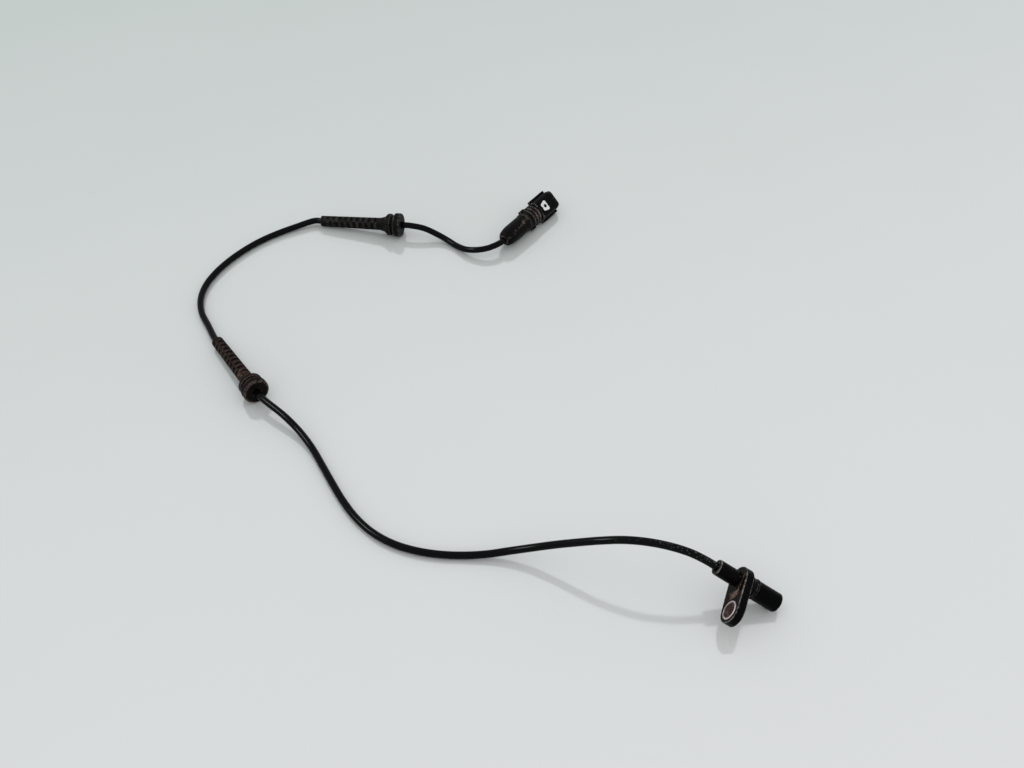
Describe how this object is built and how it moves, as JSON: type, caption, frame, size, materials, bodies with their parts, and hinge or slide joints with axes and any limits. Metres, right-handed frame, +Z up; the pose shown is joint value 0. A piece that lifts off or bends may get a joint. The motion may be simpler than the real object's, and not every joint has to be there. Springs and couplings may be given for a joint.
{
  "type": "abs wheel speed sensor",
  "caption": "Wheel speed sensor for a car's anti-lock brakes: sensing head with a bolt eye, flexible lead with slotted rubber grommets, and a sealed electrical plug.",
  "frame": {"origin": "centre of the sensor head's footprint, on the surface that the part lies on", "axes": "+X from the head's cable end towards its sensing tip, +Y from the bolt eye towards the plug, +Z up"},
  "size_m": [0.4698, 0.3847, 0.0428],
  "materials": {
    "head_nylon": "satin, dusty",
    "cap_plastic": "semi-gloss, dusty",
    "zinc_steel": "dull zinc with rust",
    "inner_plastic": "satin",
    "chip_resin": "satin",
    "magnet_metal": "satin",
    "ceramic": "satin",
    "contact_brass": "bright",
    "crimp_copper": "bright",
    "core_signal": "satin",
    "core_supply": "satin",
    "cable_jacket": "glossy with specks of dirt",
    "grommet_rubber": "matte with reddish dirt",
    "cover_rubber": "matte with brown dust",
    "plug_plastic": "satin with dust in the ribs",
    "white_plastic": "semi-gloss",
    "seal_rubber": "matte"
  },
  "bodies": {
    "root": {"sensor_body": "head_nylon", "plunger_cap": "cap_plastic", "mounting_bushing": "zinc_steel", "element_carrier": "inner_plastic", "sensing_chip": "chip_resin", "bias_magnet": "magnet_metal", "suppression_capacitor": "ceramic", "lead_signal": "contact_brass", "lead_supply": "contact_brass", "head_crimp_signal": "crimp_copper", "head_crimp_supply": "crimp_copper", "head_core_signal": "core_signal", "head_core_supply": "core_supply", "cable": "cable_jacket", "grommet_lower": "grommet_rubber", "grommet_upper": "grommet_rubber", "rear_cover": "cover_rubber", "plug_housing": "plug_plastic", "lock_insert": "white_plastic", "pin_signal": "contact_brass", "pin_supply": "contact_brass", "wire_seal_signal": "seal_rubber", "wire_seal_supply": "seal_rubber", "plug_core_signal": "core_signal", "plug_core_supply": "core_supply"}
  },
  "joints": []
}
